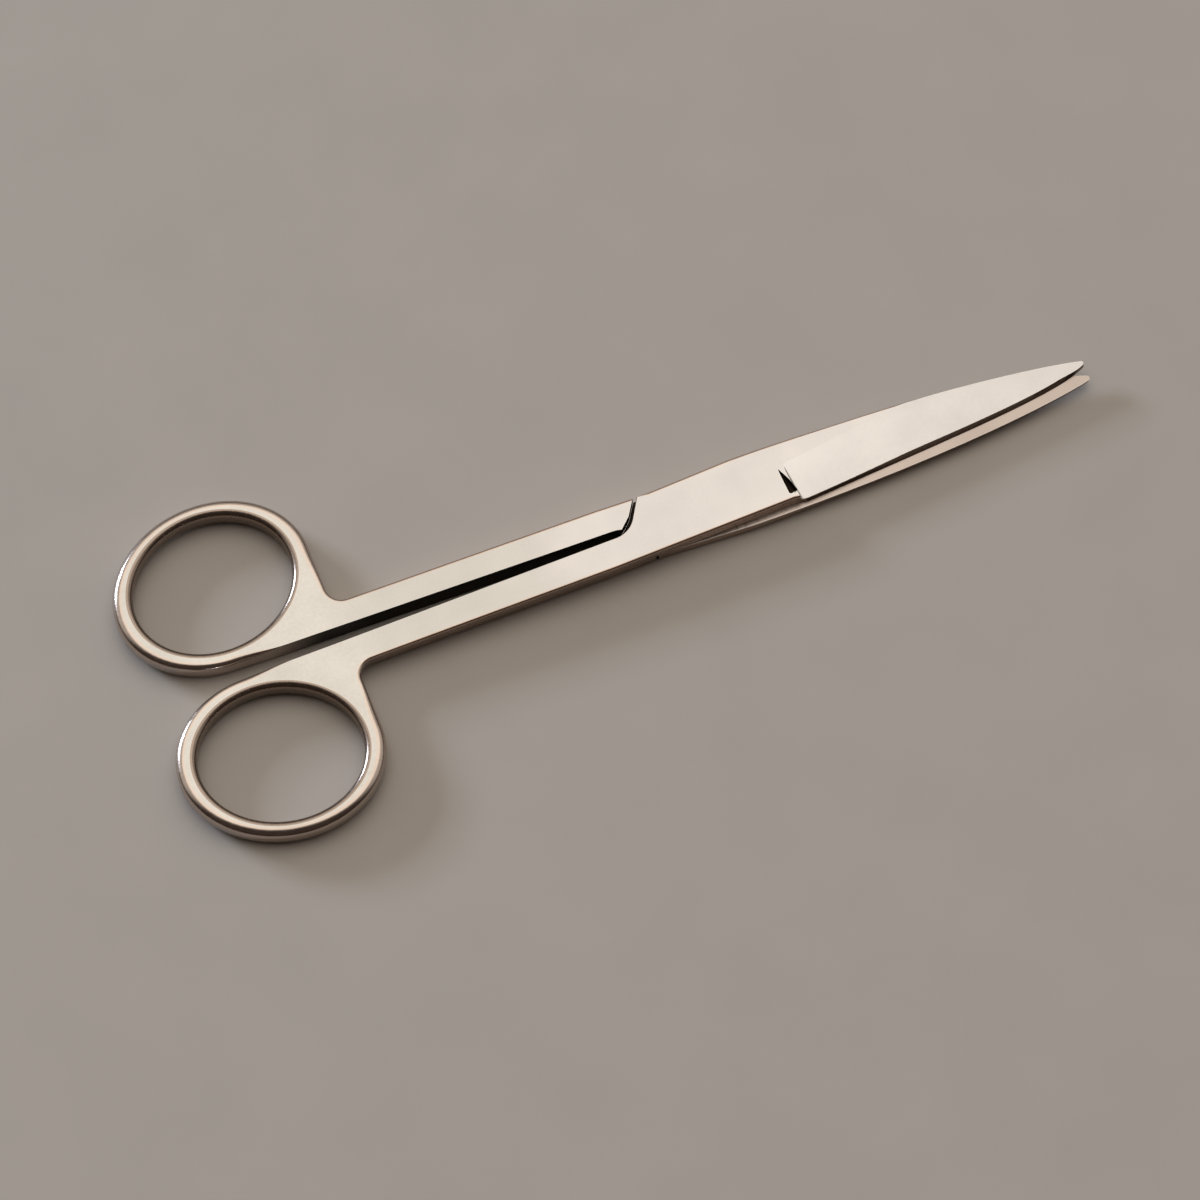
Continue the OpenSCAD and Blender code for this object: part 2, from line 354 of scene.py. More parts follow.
@dataclass
class Solid:
    """A closed mesh in millimetres, as corners and faces that each have a zone."""

    corners: list[tuple[float, float, float]] = field(default_factory=list)
    faces: list[tuple[int, ...]] = field(default_factory=list)
    zones: list[int] = field(default_factory=list)

    def add(self, face: Sequence[int], zone: Zone) -> None:
        """Adds one face with its zone."""
        self.faces.append(tuple(face))
        self.zones.append(zone.value)

    def mesh(self, name: str) -> bpy.types.Mesh:
        """Returns the solid as a mesh whose faces look outward."""
        mesh = bpy.data.meshes.new(name)
        mesh.from_pydata(self.corners, [], self.faces)
        for _ in Zone:
            mesh.materials.append(None)
        mesh.polygons.foreach_set("material_index", self.zones)
        work = bmesh.new()
        work.from_mesh(mesh)
        bmesh.ops.recalc_face_normals(work, faces=work.faces)
        work.to_mesh(mesh)
        work.free()
        return mesh


def stacked(
    loops: Sequence[Sequence[tuple[float, float, float]]],
    caps: Sequence[Sequence[int]],
    cap_zone: Zone,
    side_zones: Sequence[Zone],
) -> Solid:
    """Makes the solid between closed loops of equal length, stacked upward.

    Args:
        loops: The loops, lowest first.
        caps: Flat parts of the first and last loop, as places in the loop.
        cap_zone: Zone of the caps.
        side_zones: Zone of each side, in the loop's order.

    Returns:
        The closed solid.
    """
    solid = Solid(corners=[p for loop in loops for p in loop])
    count = len(loops[0])
    top = (len(loops) - 1) * count
    for cap in caps:
        solid.add(list(reversed(cap)), cap_zone)
        solid.add([k + top for k in cap], cap_zone)
    for k in range(len(loops) - 1):
        for i in range(count):
            a, b = k * count + i, k * count + (i + 1) % count
            solid.add((a, b, b + count, a + count), side_zones[i])
    return solid


def prism(outline: Sequence[Point], low: float, high: float, ends: Zone, sides: Zone) -> Solid:
    """Returns an upright prism over an outline, with a zone for its ends and its sides."""
    loops = [[(x, y, z) for x, y in outline] for z in (low, high)]
    return stacked(loops, [range(len(outline))], ends, [sides] * len(outline))


def lathe(profile: Sequence[Point], count: int, zone: Zone) -> Solid:
    """Turns a profile of radius and height about the Z axis.

    Args:
        profile: Radius and height of each ring, lowest first.
        count: How many steps the turn has.
        zone: Zone of every face.

    Returns:
        The closed solid.
    """
    loops = [
        [(*polar((0, 0), radius, 360 * i / count), height) for i in range(count)]
        for radius, height in profile
    ]
    return stacked(loops, [range(count)], zone, [zone] * count)


def evaluated(obj: bpy.types.Object, name: str) -> bpy.types.Mesh:
    """Returns a new mesh with an object's modifiers applied."""
    bpy.context.view_layer.update()
    graph = bpy.context.evaluated_depsgraph_get()
    mesh = bpy.data.meshes.new_from_object(obj.evaluated_get(graph))
    mesh.name = name
    return mesh


def placed(mesh: bpy.types.Mesh, name: str) -> bpy.types.Object:
    """Returns a new object with the mesh, linked to the scene."""
    obj = bpy.data.objects.new(name, mesh)
    bpy.context.scene.collection.objects.link(obj)
    return obj


def cut(body: bpy.types.Mesh, cutters: Sequence[bpy.types.Mesh], name: str) -> bpy.types.Mesh:
    """Cuts solids out of a body, one after the other.

    Args:
        body: The body's mesh, which is used up.
        cutters: The meshes to cut away, which are used up.
        name: Name of the new mesh.

    Returns:
        The body's mesh after the cuts.
    """
    obj = placed(body, name + "_work")
    tools = []
    for i, cutter in enumerate(cutters):
        tool = placed(cutter, f"{name}_cutter_{i}")
        tools.append(tool)
        change = obj.modifiers.new(tool.name, "BOOLEAN")
        change.operation = "DIFFERENCE"
        change.solver = "EXACT"
        change.object = tool
    mesh = evaluated(obj, name)
    for extra in (obj, *tools):
        used = extra.data
        bpy.data.objects.remove(extra)
        bpy.data.meshes.remove(used)
    return mesh


def tidied(mesh: bpy.types.Mesh, width: float, sharp: float) -> bpy.types.Mesh:
    """Welds a mesh, breaks its sharp edges with a fine bevel and smooths the rest.

    Args:
        mesh: A closed mesh in millimetres, which is used up.
        width: Width of the bevel in millimetres.
        sharp: Angle from which an edge counts as sharp, in degrees.

    Returns:
        The finished mesh.
    """
    work = bmesh.new()
    work.from_mesh(mesh)
    bmesh.ops.remove_doubles(work, verts=work.verts, dist=0.002)
    bmesh.ops.dissolve_degenerate(work, edges=work.edges, dist=0.001)
    work.to_mesh(mesh)
    work.free()
    obj = placed(mesh, mesh.name + "_bevel")
    bevel = obj.modifiers.new("fine_bevel", "BEVEL")
    bevel.width = width
    bevel.segments = 2
    bevel.limit_method = "ANGLE"
    bevel.angle_limit = math.radians(sharp)
    bevel.use_clamp_overlap = False
    bevel.material = Zone.EDGE.value
    done = evaluated(obj, mesh.name)
    bpy.data.objects.remove(obj)
    work = bmesh.new()
    work.from_mesh(done)
    bmesh.ops.dissolve_degenerate(work, edges=work.edges, dist=0.0005)
    for face in work.faces:
        face.smooth = True
    for edge in work.edges:
        edge.smooth = not edge.is_manifold or edge.calc_face_angle(0) < math.radians(sharp)
    work.to_mesh(done)
    work.free()
    return done


class HalfOutline:
    """The outline of one half from above, counterclockwise from the tip, with its sides."""

    def __init__(
        self, joint: JointSizes, blade: BladeSizes, shank: ShankSizes, ring: RingSizes
    ) -> None:
        """Works out the outline's fixed points.

        Args:
            joint: Sizes of the joint.
            blade: Sizes of the blade.
            shank: Sizes of the shank.
            ring: Sizes of the finger ring.
        """
        self.joint = joint
        self.blade = blade
        self.shank = shank
        self.ring = ring
        self._place_ring()
        self._place_lap()
        self._place_shank()

    def _place_ring(self) -> None:
        """Places the two ovals of the finger ring."""
        ring = self.ring
        self.hole_semi = (ring.hole[0] / 2, ring.hole[1] / 2)
        self.ring_semi = (
            self.hole_semi[0] + (ring.wall_far + ring.wall_near) / 2,
            self.hole_semi[1] + (ring.wall_inner + ring.wall_outer) / 2,
        )
        long, wide = self.ring_semi
        sine, cosine = math.sin(math.radians(ring.tilt)), math.cos(math.radians(ring.tilt))
        self.ring_centre = (
            -ring.reach,
            -self.shank.clear - math.hypot(long * sine, wide * cosine),
        )
        shift = turned(
            ((ring.wall_far - ring.wall_near) / 2, (ring.wall_outer - ring.wall_inner) / 2),
            -ring.tilt,
        )
        self.hole_centre = (self.ring_centre[0] + shift[0], self.ring_centre[1] + shift[1])
        self.top_angle = math.degrees(math.atan2(wide * cosine, -long * sine))
        self.near_angle = math.degrees(math.atan2(wide * sine, long * cosine))
        self.ring_top = self.oval(self.ring_centre, self.ring_semi, self.top_angle)
        self.ring_near = self.oval(self.ring_centre, self.ring_semi, self.near_angle)

    def _place_lap(self) -> None:
        """Places the lap's leaning back edge and the arc at its foot."""
        joint, clear = self.joint, self.shank.clear
        lean = math.radians(joint.lap_lean)
        self.lap_corner = (-joint.lap_back, joint.up - joint.up_taper)
        self.lap_dir = (-math.sin(lean), -math.cos(lean))
        run = (self.lap_corner[1] + clear) / math.cos(lean)
        foot = (
            self.lap_corner[0] + self.lap_dir[0] * run,
            self.lap_corner[1] + self.lap_dir[1] * run,
        )
        tangent = joint.lap_fillet * math.tan(math.radians(90 - joint.lap_lean) / 2)
        self.lap_arc_start = (foot[0] - self.lap_dir[0] * tangent, foot[1] - self.lap_dir[1] * tangent)
        self.lap_arc_centre = (foot[0] - tangent, foot[1] + joint.lap_fillet)

    def _place_shank(self) -> None:
        """Places the straight shank between the joint and the crotch."""
        shank = self.shank
        self.crotch_centre = (
            self.ring_near[0] + shank.crotch_radius,
            -shank.clear - shank.ring_width - shank.crotch_radius,
        )
        self.shank_start = (self.lap_arc_centre[0] - 1.5, -shank.clear - shank.joint_width)
        self.shank_end = (self.crotch_centre[0], -shank.clear - shank.ring_width)
        self.thin_from = self.shank_start[0]
        self.thin_to = self.shank_end[0] + 1
        self.thin_end = between(
            self.shank_end, self.shank_start, 1 / (self.shank_start[0] - self.shank_end[0])
        )
        self.edge_start = (self.blade.heel_reach + 1.6, -self.joint.low - self.blade.heel_step)

    def oval(self, centre: Point, semi: Point, degrees: float) -> Point:
        """Returns a point of an oval that is tilted as the ring is."""
        a = math.radians(degrees)
        x, y = turned((semi[0] * math.cos(a), semi[1] * math.sin(a)), -self.ring.tilt)
        return (centre[0] + x, centre[1] + y)

    def oval_run(self, start: float, end: float, count: int) -> list[Point]:
        """Returns points along the ring's outside from one angle towards another."""
        return [
            self.oval(self.ring_centre, self.ring_semi, mix(start, end, i / count))
            for i in range(count)
        ]

    def _blade_curves(self) -> tuple[list[Point], list[Point]]:
        """Returns the handles of the spine's curve and of the cutting edge's."""
        joint, blade = self.joint, self.blade
        tip = (blade.tip_reach - blade.tip_round, blade.tip_offset)
        tip_top = polar(tip, blade.tip_round, blade.tip_top)
        tip_low = polar(tip, blade.tip_round, blade.tip_low)
        spine_start = (joint.spine_reach, joint.up)
        spine_length = blade.tip_reach - joint.spine_reach
        edge_length = blade.tip_reach - self.edge_start[0]
        spine = [
            tip_top,
            polar(tip_top, 0.23 * spine_length, blade.tip_top + 90),
            (spine_start[0] + 0.365 * spine_length, spine_start[1]),
            spine_start,
        ]
        edge = [
            self.edge_start,
            polar(self.edge_start, 0.67 * edge_length, 3),
            polar(tip_low, 0.1 * edge_length, blade.tip_low - 90),
            tip_low,
        ]
        return spine, edge

    def stations(self) -> list[Station]:
        """Returns the whole outline with its sides."""
        joint, blade, shank, ring = self.joint, self.blade, self.shank, self.ring
        shank_in = Side(0.09, 0.09)
        lap = Side(0.09, 0.09)
        joint_side = Side(shank.edge_round, shank.edge_round)
        shank_side = Side(shank.edge_round, shank.edge_round, shank.draft)
        crotch = Side(0.7, 0.7)
        ring_side = Side(ring.outside_round, ring.outside_round)
        ring_in = Side(0.7 * ring.outside_round, 0.7 * ring.outside_round)
        heel = Side(0.1, 0.1, 0, 0.15)
        edge_side = Side(0.1, 0.1, 0, 1 / math.tan(math.radians(blade.bevel_angle)))
        spine_side = Side(0.2, 0.2, 0, 0.2)
        tip_side = Side(0.06, 0.06, 0, 0.13)
        tip = (blade.tip_reach - blade.tip_round, blade.tip_offset)
        spine, edge = self._blade_curves()
        spine_start = spine[3]
        joint_front = (blade.heel_reach - 0.2, -joint.low)
        blend_start = (self.ring_top[0] + ring.blend, self.ring_top[1])
        run: list[Station] = []
        run += styled(
            arc_run(tip, blade.tip_round, blade.tip_low, blade.tip_top, ARC_STEPS), tip_side, tip_side
        )
        spine_run = curve_run(spine, CURVE_STEPS)
        run += styled_by(spine_run, tip_side, spine_side, joint_side, 0.3, Zone.SIDE)
        run += styled(line_run(spine_start, self.lap_corner, 8), joint_side, joint_side)
        # From here to the ring, the lap's edge and the shank's inner side take the gap finish, painted
        # dark as the shade between the halves.
        run += styled(line_run(self.lap_corner, self.lap_arc_start, 3), lap, lap, Zone.GAP)
        run += styled(
            arc_run(self.lap_arc_centre, joint.lap_fillet, -joint.lap_lean, -90, ARC_STEPS),
            lap,
            shank_in,
            Zone.GAP,
        )
        inner = [(self.lap_arc_centre[0], -shank.clear), (self.thin_from, -shank.clear)]
        inner.append((self.thin_to, -shank.clear))
        run += styled(inner, shank_in, shank_in, Zone.GAP)
        run += styled(line_run(blend_start, self.ring_top, 16), shank_in, ring_in, Zone.GAP)
        run += styled(self.oval_run(self.top_angle, 180, 40), ring_in, ring_side)
        run += styled(self.oval_run(180, 360 + self.near_angle, 100), ring_side, ring_side)
        run += styled(
            line_run(self.ring_near, (self.ring_near[0], self.crotch_centre[1]), 8), ring_side, crotch
        )
        run += styled(
            arc_run(self.crotch_centre, shank.crotch_radius, 180, 90, ARC_STEPS), crotch, shank_side
        )
        run += styled([self.shank_end, self.thin_end], shank_side, shank_side)
        run += styled(line_run(self.shank_start, joint_front, 8), shank_side, joint_side)
        run += styled(line_run(joint_front, self.edge_start, 5), joint_side, heel)
        edge_run = curve_run(edge, CURVE_STEPS)
        # The cutting edge's side takes the bevel finish, painted dark as the shade between the blades.
        run += styled_by(edge_run, heel, edge_side, tip_side, 0.25, Zone.BEVEL)
        return run


class ForgedHalf:
    """One half of the scissors, forged in one piece: blade, lapped joint, shank and ring."""

    def __init__(self, which: Half, outline: HalfOutline, screw: ScrewSizes) -> None:
        """Sets what the half is built from.

        Args:
            which: The front or the back half.
            outline: The outline that both halves share.
            screw: Sizes of the screw that passes through them.
        """
        self.which = which
        self.outline = outline
        self.screw = screw
        self.joint = outline.joint
        self.blade = outline.blade
        self.ring = outline.ring

    def _thinning(self, x: float) -> float:
        """Returns the share of the joint's thickness that the half has at x."""
        line = self.outline
        along = clamp((line.thin_from - x) / (line.thin_from - line.thin_to))
        return mix(1, self.ring.thickness / self.joint.thickness, along)

    def _blank(self) -> bpy.types.Mesh:
        """Returns the forging before its cuts, lofted through rounded loops."""
        stations = self.outline.stations()
        count = len(stations)
        plan = [Vector(s.at) for s in stations]
        inwards = []
        for i, p in enumerate(plan):
            before = (p - plan[i - 1]).normalized()
            after = (plan[(i + 1) % count] - p).normalized()
            a, b = Vector((-before.y, before.x)), Vector((-after.y, after.x))
            m = (a + b).normalized()
            inwards.append(m / max(0.5, m.dot(a)))
        thickness, mid = self.joint.thickness, self.joint.mid
        loops = []
        for k in range(2 * ROUND_STEPS + 3):
            loop = []
            for s, p, m in zip(stations, plan, inwards):
                inset, z = self._level(s.side, k)
                inset += s.side.draft * (1 - z / thickness) + s.side.slope * max(0.0, z - mid)
                q = p + m * inset
                loop.append((q.x, q.y, mid + (z - mid) * self._thinning(p.x)))
            loops.append(loop)
        solid = stacked(loops, self._caps(plan), Zone.FACE, [s.zone for s in stations])
        return solid.mesh(self.which.value)

    def _level(self, side: Side, k: int) -> tuple[float, float]:
        """Returns how far level k of a rounded side stands in, and its height."""
        step = k - ROUND_STEPS - 2 if k > ROUND_STEPS else k
        a = math.radians(90 * step / ROUND_STEPS)
        if k <= ROUND_STEPS:
            return side.other * (1 - math.sin(a)), side.other * (1 - math.cos(a))
        if k == ROUND_STEPS + 1:
            return 0.0, self.joint.mid
        return side.outer * (1 - math.cos(a)), self.joint.thickness - side.outer * (1 - math.sin(a))

    def _caps(self, plan: Sequence[Vector]) -> list[list[int]]:
        """Returns the three flats that the thinning shank parts each face into."""
        count = len(plan)

        def at(x: float) -> list[int]:
            return [i for i, p in enumerate(plan) if abs(p.x - x) < 1e-4]

        def span(i: int, j: int) -> list[int]:
            return [k % count for k in range(i, (j + count if j < i else j) + 1)]

        a, b = at(self.outline.thin_from), at(self.outline.thin_to)
        return [span(a[1], a[0]), span(a[0], b[0]) + span(b[1], a[1]), span(b[0], b[1])]

    def _finger_hole(self) -> bpy.types.Mesh:
        """Returns the cutter for the finger hole, which flares at both faces."""
        line, ring = self.outline, self.ring
        low = self.joint.mid - ring.thickness / 2
        radius = ring.hole_round
        levels = [(radius, low - PAST)]
        for k in range(ROUND_STEPS + 1):
            a = math.radians(90 * k / ROUND_STEPS)
            levels.append((radius * (1 - math.sin(a)), low + radius * (1 - math.cos(a))))
        for k in range(ROUND_STEPS + 1):
            a = math.radians(90 * k / ROUND_STEPS)
            height = low + ring.thickness - radius * (1 - math.sin(a))
            levels.append((radius * (1 - math.cos(a)), height))
        levels.append((radius, low + ring.thickness + PAST))
        loops = []
        for grow, z in levels:
            semi = (line.hole_semi[0] + grow, line.hole_semi[1] + grow)
            loops.append(
                [(*line.oval(line.hole_centre, semi, 360 * i / HOLE_STEPS), z) for i in range(HOLE_STEPS)]
            )
        # The hole's faces take the hole finish, painted darker as the shade inside the ring.
        sides = [Zone.HOLE] * HOLE_STEPS
        return stacked(loops, [range(HOLE_STEPS)], Zone.HOLE, sides).mesh("finger_hole")

    def _lap_recess(self) -> bpy.types.Mesh:
        """Returns the cutter that makes room for the other half, up to the shoulder."""
        joint, line, clear = self.joint, self.outline, self.outline.shank.clear
        direction = line.lap_dir
        shift = (direction[1] * joint.shoulder_gap, -direction[0] * joint.shoulder_gap)

        def moved(p: Point, along: float) -> Point:
            x = p[0] + shift[0] - direction[0] * along
            y = p[1] + shift[1] - direction[1] * along
            return (x, -y)

        outer = moved(line.lap_corner, 2)
        kink = moved(line.lap_arc_start, 0)
        arc = joint.lap_fillet - 0.7 * joint.shoulder_gap
        rise = joint.lap_fillet - 2 * clear
        corner = (line.lap_arc_centre[0] + math.sqrt(arc * arc - rise * rise), -clear)
        away = Vector((corner[0] - kink[0], corner[1] - kink[1])).normalized()
        end = (corner[0] + away.x * PAST, corner[1] + away.y * PAST)
        reach, tip = 30.0, self.blade.tip_reach + PAST
        outline = [outer, (tip, -reach), (tip, reach), (end[0], reach), end, corner, kink]
        # The recess's sides take the gap finish, painted dark as the shade between the halves.
        return prism(outline, -PAST, joint.lap_face, Zone.LAP, Zone.GAP).mesh("lap_recess")

    def _blade_grind(self) -> bpy.types.Mesh:
        """Returns the cutter for the outer face's slope, with its step at the heel."""
        blade, reach = self.blade, 30.0
        length = blade.tip_reach - blade.heel_reach + reach
        profile = arc_run((blade.grind_fillet,) * 2, blade.grind_fillet, 180, 270, ARC_STEPS)
        profile += [(blade.grind_fillet, 0), (length, 0), (length, reach), (0, reach)]
        mesh = prism(profile, 0, reach, Zone.BLADE, Zone.BLADE).mesh("blade_grind")
        mesh.transform(Matrix.Rotation(math.radians(90), 4, "X"))
        mesh.transform(self._grind_place() @ Matrix.Translation((0, PAST, 0)))
        return mesh

    def _grind_place(self) -> Matrix:
        """Returns the matrix from the blade's ground slope, at the step, to the half."""
        blade = self.blade
        start = (blade.heel_reach, blade.grind_start, self.joint.thickness)
        roll = Matrix.Rotation(math.radians(blade.grind_roll), 4, "X")
        return Matrix.Translation(start) @ Matrix.Rotation(math.radians(blade.grind_lean), 4, "Z") @ roll

    def _heel_relief(self) -> bpy.types.Mesh:
        """Returns the cutter for the nick that the wheel's corner leaves along the step."""
        blade = self.blade
        length, radius = blade.relief_length, blade.relief_radius
        profile = [(0.03, 0.0), (radius, length), (0.8 * radius, length + 0.3 * radius)]
        # The nick's faces take the gap finish, painted dark as the shadow that the step casts.
        mesh = lathe(profile + [(0.3 * radius, length + 0.5 * radius)], 48, Zone.GAP).mesh("relief")
        mesh.transform(Matrix.Rotation(math.radians(90), 4, "X"))
        sway = math.atan(0.45 * radius / length)
        rise = math.atan(0.5 * radius / length)
        mesh.transform(Matrix.Rotation(sway, 4, "Z") @ Matrix.Rotation(-rise, 4, "X"))
        mesh.transform(self._grind_place() @ Matrix.Translation((-0.75, -0.35, 0)))
        return mesh

    def _hollow_grind(self) -> bpy.types.Mesh:
        """Returns the cutter for the inner face's slight hollow, ground by a large wheel."""
        blade, edge = self.blade, self.outline.edge_start
        start = edge[0] + 1
        length = blade.tip_reach - start
        fade = math.degrees(math.atan(blade.hollow_depth / length))
        radius = blade.hollow_radius
        mesh = lathe([(radius, 0), (radius, length)], 720, Zone.LAP).mesh("hollow_grind")
        mesh.transform(Matrix.Rotation(math.radians(90 + fade), 4, "Y"))
        height = self.joint.lap_face + blade.hollow_depth - radius
        mesh.transform(Matrix.Translation((start, (self.joint.up + edge[1]) / 2, height)))
        return mesh

    def _screw_hole(self) -> list[bpy.types.Mesh]:
        """Returns the cutter for the screw: a blind hole in front, a stepped bore behind."""
        screw, thickness = self.screw, self.joint.thickness
        if self.which is Half.FRONT:
            radius = screw.diameter / 2 + screw.thread_clear
            profile = [(radius, -PAST), (radius, thickness - screw.cover)]
        else:
            radius = screw.diameter / 2 + screw.pivot_clear
            wide = screw.head / 2 + screw.pivot_clear
            step = thickness - screw.head_height - self.joint.lap_gap / 2
            profile = [(radius, -PAST), (radius, step), (wide, step), (wide, thickness + PAST)]
        return [lathe(profile, 96, Zone.LAP).mesh("screw_hole")]

    def _flatten(self, mesh: bpy.types.Mesh) -> None:
        """Brings corners that the fine bevel pushed past the flat faces back to them."""
        for corner in mesh.vertices:
            low = self.joint.lap_face if corner.co.x > 0 else 0.0
            corner.co.z = min(self.joint.thickness, max(low, corner.co.z))

    def _pose(self) -> Matrix:
        """Returns the matrix that lays the half in place at rest."""
        half = math.radians(self.joint.open_angle / 2)
        if self.which is Half.FRONT:
            return Matrix.Rotation(half, 4, "Z")
        over = Matrix.Translation((0, 0, self.joint.thickness)) @ Matrix.Rotation(math.pi, 4, "X")
        return Matrix.Rotation(-half, 4, "Z") @ over

    def build(self, finishes: Sequence["SteelFinish"]) -> bpy.types.Object:
        """Builds the half, dresses it and sets it in the place of its CAD node.

        Args:
            finishes: The finishes of the zones, in order.

        Returns:
            The half as one object.
        """
        cutters = [self._finger_hole(), self._lap_recess(), self._blade_grind()]
        cutters += [self._heel_relief(), self._hollow_grind(), *self._screw_hole()]
        mesh = cut(self._blank(), cutters, self.which.value + "_steel")
        mesh = tidied(mesh, 0.045, 24)
        self._flatten(mesh)
        mesh.transform(Matrix.Scale(MM, 4) @ self._pose())
        for zone, finish in zip(Zone, finishes):
            mesh.materials[zone.value] = finish.material()
        obj = placed(mesh, self.which.value + "_steel")
        shading = obj.modifiers.new("face_weighted_shading", "WEIGHTED_NORMAL")
        shading.keep_sharp = True
        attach(obj, self.which.value)
        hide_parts(self.which.value)
        return obj


class PivotScrew:
    """The slotted screw that the back half turns on, flush in the underside."""

    def __init__(self, sizes: ScrewSizes, joint: JointSizes) -> None:
        """Sets the screw's sizes and those of the joint that it holds."""
        self.sizes = sizes
        self.joint = joint

    def _profile(self) -> list[Point]:
        """Returns the turned profile, from the head's face up to the end of the thread."""
        s = self.sizes
        end = self.joint.thickness - s.cover - self.joint.lap_gap
        head, shank = s.head / 2, s.diameter / 2
        profile = [(head - s.chamfer, 0.0), (head, s.chamfer), (head, s.head_height)]
        profile += [(shank, s.head_height), (shank, self.joint.lap_face + 0.2)]
        pitch, depth = 0.35, 0.12
        z = self.joint.lap_face + 0.2
        while z + pitch < end - s.chamfer:
            profile += [(shank - depth, z + pitch / 2), (shank, z + pitch)]
            z += pitch
        return profile + [(shank, end - s.chamfer), (shank - s.chamfer, end)]

    def build(self, finishes: Sequence["SteelFinish"]) -> bpy.types.Object:
        """Builds the screw, dresses it and sets it in the place of its CAD node.

        Args:
            finishes: The finish of the turned faces and that of the broken edges.

        Returns:
            The screw as one object.
        """
        s = self.sizes
        body = lathe(self._profile(), 96, Zone.FACE).mesh("pivot_screw")
        half = s.slot_width / 2
        slot = [(-s.head, -half), (s.head, -half), (s.head, half), (-s.head, half)]
        tool = prism(slot, -PAST, s.slot_depth, Zone.FACE, Zone.FACE).mesh("slot")
        mesh = tidied(cut(body, [tool], "pivot_screw_steel"), 0.03, 30)
        mesh.transform(Matrix.Scale(MM, 4))
        for zone in Zone:
            finish = finishes[1] if zone is Zone.EDGE else finishes[0]
            mesh.materials[zone.value] = finish.material()
        obj = placed(mesh, "pivot_screw_steel")
        shading = obj.modifiers.new("face_weighted_shading", "WEIGHTED_NORMAL")
        shading.keep_sharp = True
        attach(obj, Half.FRONT.value)
        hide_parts("pivot_screw")
        return obj


class Grain(Enum):
    """Which way the marks of the last grinding run."""

    ALONG = (0.06, 1.0, 1.0)
    ACROSS = (1.0, 0.08, 1.0)
    EVEN = (1.0, 1.0, 1.0)


@dataclass(frozen=True)
class SteelFinish:
    """Martensitic stainless steel with one of the finishes that the maker gives it; the gap, hole and
    bevel finishes, and parts of the lap and side finishes, also carry painted shade in their colours.

    Attributes:
        name: Name of the finish.
        colour: Colour of the bare metal.
        roughness: Roughness of the finish.
        ring_roughness: Roughness on the finger rings, which are buffed.
        grain: Direction of the grinding marks.
        grain_mm: Width of one mark.
        grain_depth_mm: Depth of the marks.
        tint: How much the colour varies.
        tip_colour: Colour towards the tips, where it differs.
        change_mm: Where along the half the one colour passes into the other.
    """

    name: str
    colour: str = "#CCC8C6"
    roughness: float = 0.34
    ring_roughness: float = 0.2
    grain: Grain = Grain.EVEN
    grain_mm: float = 0.3
    grain_depth_mm: float = 0.004
    tint: float = 0.14
    tip_colour: str = ""
    change_mm: tuple[float, float] = (0.0, 1.0)

    def material(self) -> bpy.types.Material:
        """Returns the finish as a material, made once and then shared."""
        found = bpy.data.materials.get(self.name)
        if found:
            return found
        material = bpy.data.materials.new(self.name)
        material.use_nodes = True
        tree = material.node_tree
        tree.nodes.clear()
        place = add_node(tree, "ShaderNodeTexCoord").outputs["Object"]
        per_metre = 1 / (2 * self.grain_mm * MM)
        grain_place = add_node(
            tree, "ShaderNodeMapping", {"Vector": place, "Scale": self.grain.value}
        ).outputs[0]
        grain = add_node(
            tree,
            "ShaderNodeTexNoise",
            {"Vector": grain_place, "Scale": per_metre, "Detail": 3.0, "Roughness": 0.6},
        ).outputs[0]
        cloud = add_node(
            tree, "ShaderNodeTexNoise", {"Vector": place, "Scale": 120.0, "Detail": 2.0}
        ).outputs[0]
        along = add_node(tree, "ShaderNodeSeparateXYZ", {0: place}).outputs[0]
        buffed = add_node(
            tree,
            "ShaderNodeMapRange",
            {"Value": along, 1: -0.050, 2: -0.058, 3: 0.0, 4: 1.0},
            interpolation_type="SMOOTHSTEP",
        ).outputs[0]
        base = add_node(
            tree,
            "ShaderNodeMapRange",
            {"Value": buffed, 3: self.roughness, 4: self.ring_roughness},
        ).outputs[0]
        uneven = add_node(
            tree, "ShaderNodeMapRange", {"Value": grain, 1: 0.3, 2: 0.7, 3: -0.05, 4: 0.05}
        ).outputs[0]
        roughness = add_node(
            tree, "ShaderNodeMath", {0: base, 1: uneven}, operation="ADD"
        ).outputs[0]
        both = add_node(
            tree, "ShaderNodeMath", {0: grain, 1: cloud}, operation="ADD"
        ).outputs[0]
        shade = add_node(
            tree,
            "ShaderNodeMapRange",
            {"Value": both, 1: 0.7, 2: 1.3, 3: 1 - self.tint, 4: 1.0},
        ).outputs[0]
        metal: Any = linear(self.colour)
        if self.tip_colour:
            start, end = self.change_mm
            towards_tip = add_node(
                tree,
                "ShaderNodeMapRange",
                {"Value": along, 1: start * MM, 2: end * MM},
                interpolation_type="SMOOTHSTEP",
            ).outputs[0]
            metal = add_node(
                tree,
                "ShaderNodeMix",
                {"Factor": towards_tip, 6: metal, 7: linear(self.tip_colour)},
                data_type="RGBA",
            ).outputs[2]
        colour = add_node(
            tree,
            "ShaderNodeMix",
            {"Factor": 1.0, 6: metal, 7: shade},
            data_type="RGBA",
            blend_type="MULTIPLY",
        ).outputs[2]
        bump = add_node(
            tree,
            "ShaderNodeBump",
            {"Height": grain, "Strength": 1.0, "Distance": self.grain_depth_mm * MM},
        ).outputs[0]
        shader = add_node(
            tree,
            "ShaderNodeBsdfPrincipled",
            {"Base Color": colour, "Metallic": 1.0, "Roughness": roughness, "Normal": bump},
        )
        add_node(tree, "ShaderNodeOutputMaterial", {"Surface": shader.outputs[0]})
        return material


